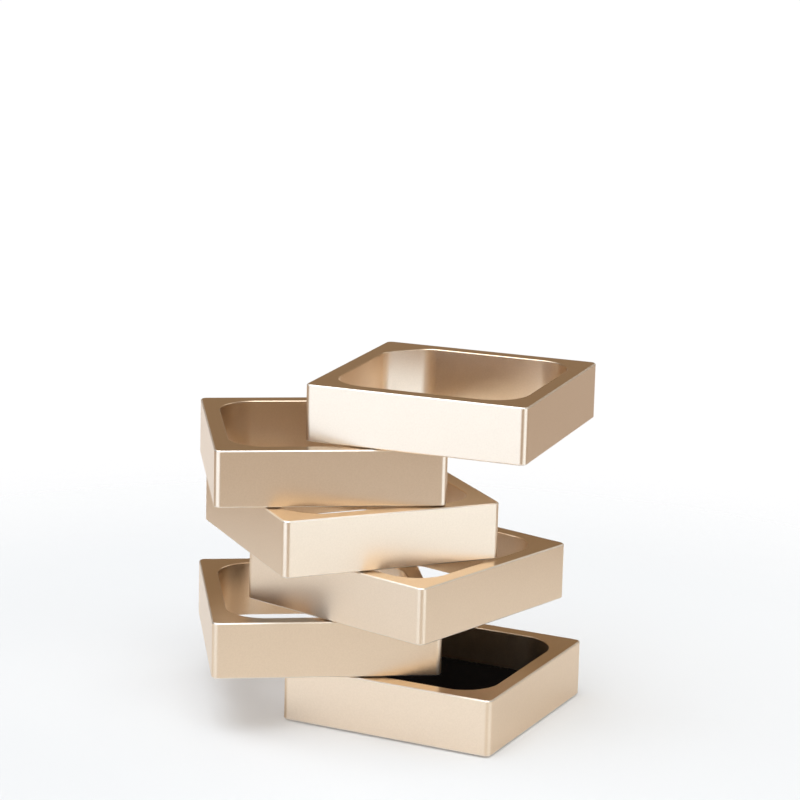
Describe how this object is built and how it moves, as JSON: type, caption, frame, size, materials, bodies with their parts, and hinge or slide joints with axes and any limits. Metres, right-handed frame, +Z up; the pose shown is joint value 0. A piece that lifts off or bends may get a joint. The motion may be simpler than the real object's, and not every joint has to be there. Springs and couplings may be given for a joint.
{
  "type": "pen holder",
  "caption": "Desk pen holder of stacked square aluminium frames that swivel on a shared corner bolt; the lowest frame is a tray with a floor.",
  "frame": {"origin": "middle of the foot pad's underside, on the surface that the holder stands on", "axes": "+Z up along the pivot bolt; X and Y along the base's sides, with the pivot corner at -X, +Y"},
  "size_m": [0.1066, 0.0864, 0.0918],
  "materials": {
    "anodised_aluminium": "fine bead-blasted, champagne gold anodised",
    "black_foam": "matt closed-cell foam",
    "polymer": "black, plain moulded",
    "steel": "zinc plated"
  },
  "bodies": {
    "base": {"base_tray": "anodised_aluminium", "base_liner": "black_foam", "foot_pad": "black_foam", "base_bush": "polymer", "head_washer": "steel"},
    "frame_2": {"frame_2": "anodised_aluminium", "spacer_2": "polymer", "frame_2_bush": "polymer"},
    "frame_3": {"frame_3": "anodised_aluminium", "spacer_3": "polymer", "frame_3_bush": "polymer"},
    "frame_4": {"frame_4": "anodised_aluminium", "spacer_4": "polymer", "frame_4_bush": "polymer"},
    "frame_5": {"frame_5": "anodised_aluminium", "spacer_5": "polymer", "frame_5_bush": "polymer"},
    "frame_6": {"frame_6": "anodised_aluminium", "spacer_6": "polymer", "pivot_bolt": "steel", "disc_spring": "steel"}
  },
  "joints": [
    {"name": "frame_2_swivel", "type": "hinge", "parent": "base", "child": "frame_2", "pos_m": [-0.024, 0.024, 0.01575], "axis": [0, 0, 1], "continuous": true},
    {"name": "frame_3_swivel", "type": "hinge", "parent": "frame_2", "child": "frame_3", "pos_m": [-0.024, 0.024, 0.031], "axis": [0, 0, 1], "continuous": true},
    {"name": "frame_4_swivel", "type": "hinge", "parent": "frame_3", "child": "frame_4", "pos_m": [-0.024, 0.024, 0.04625], "axis": [0, 0, 1], "continuous": true},
    {"name": "frame_5_swivel", "type": "hinge", "parent": "frame_4", "child": "frame_5", "pos_m": [-0.024, 0.024, 0.0615], "axis": [0, 0, 1], "continuous": true},
    {"name": "frame_6_swivel", "type": "hinge", "parent": "frame_5", "child": "frame_6", "pos_m": [-0.024, 0.024, 0.07675], "axis": [0, 0, 1], "continuous": true}
  ]
}
